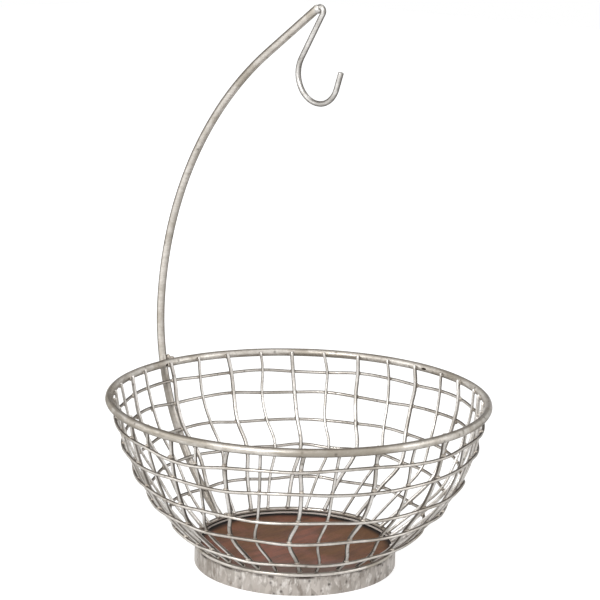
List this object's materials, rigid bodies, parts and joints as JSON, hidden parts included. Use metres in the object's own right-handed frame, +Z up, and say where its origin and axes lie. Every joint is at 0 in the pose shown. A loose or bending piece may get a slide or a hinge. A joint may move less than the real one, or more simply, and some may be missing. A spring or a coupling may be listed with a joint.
{
  "type": "wire produce basket with fruit hook",
  "caption": "Round wire bowl on a low galvanised band with a rust-brown floor; a rod rises from its back and bends over the middle to carry a J hook for hanging fruit.",
  "frame": {"origin": "middle of the base band's underside, on the surface the basket stands on", "axes": "+Z up; the rod stands at the back, +Y; +X is to the right seen from the front"},
  "size_m": [0.28, 0.2893, 0.4086],
  "materials": {
    "pewter_wire": "antique silver on steel wire, warm grey, with darker rubbed-in patches near the welds",
    "galvanised_strip": "galvanised strip with a mottled spangle, dull",
    "rust_plate": "copper-brown rust finish, cloudy and matt"
  },
  "bodies": {
    "root": {"base_band": "galvanised_strip", "base_ring": "pewter_wire", "bottom_plate": "rust_plate", "fruit_hook": "pewter_wire", "hanger_arm": "pewter_wire", "hoop_1": "pewter_wire", "hoop_2": "pewter_wire", "hoop_3": "pewter_wire", "hoop_4": "pewter_wire", "hoop_5": "pewter_wire", "rib_01": "pewter_wire", "rib_02": "pewter_wire", "rib_03": "pewter_wire", "rib_04": "pewter_wire", "rib_05": "pewter_wire", "rib_06": "pewter_wire", "rib_07": "pewter_wire", "rib_08": "pewter_wire", "rib_09": "pewter_wire", "rib_10": "pewter_wire", "rib_11": "pewter_wire", "rib_12": "pewter_wire", "rib_13": "pewter_wire", "rib_14": "pewter_wire", "rib_15": "pewter_wire", "rib_16": "pewter_wire", "rib_17": "pewter_wire", "rib_18": "pewter_wire", "rib_19": "pewter_wire", "rib_20": "pewter_wire", "rib_21": "pewter_wire", "rib_22": "pewter_wire", "rib_23": "pewter_wire", "rib_24": "pewter_wire", "rib_25": "pewter_wire", "rib_26": "pewter_wire", "rib_27": "pewter_wire", "rib_28": "pewter_wire", "rib_29": "pewter_wire", "rib_30": "pewter_wire", "rib_31": "pewter_wire", "rib_32": "pewter_wire", "rib_33": "pewter_wire", "rib_34": "pewter_wire", "rim": "pewter_wire"}
  },
  "joints": []
}
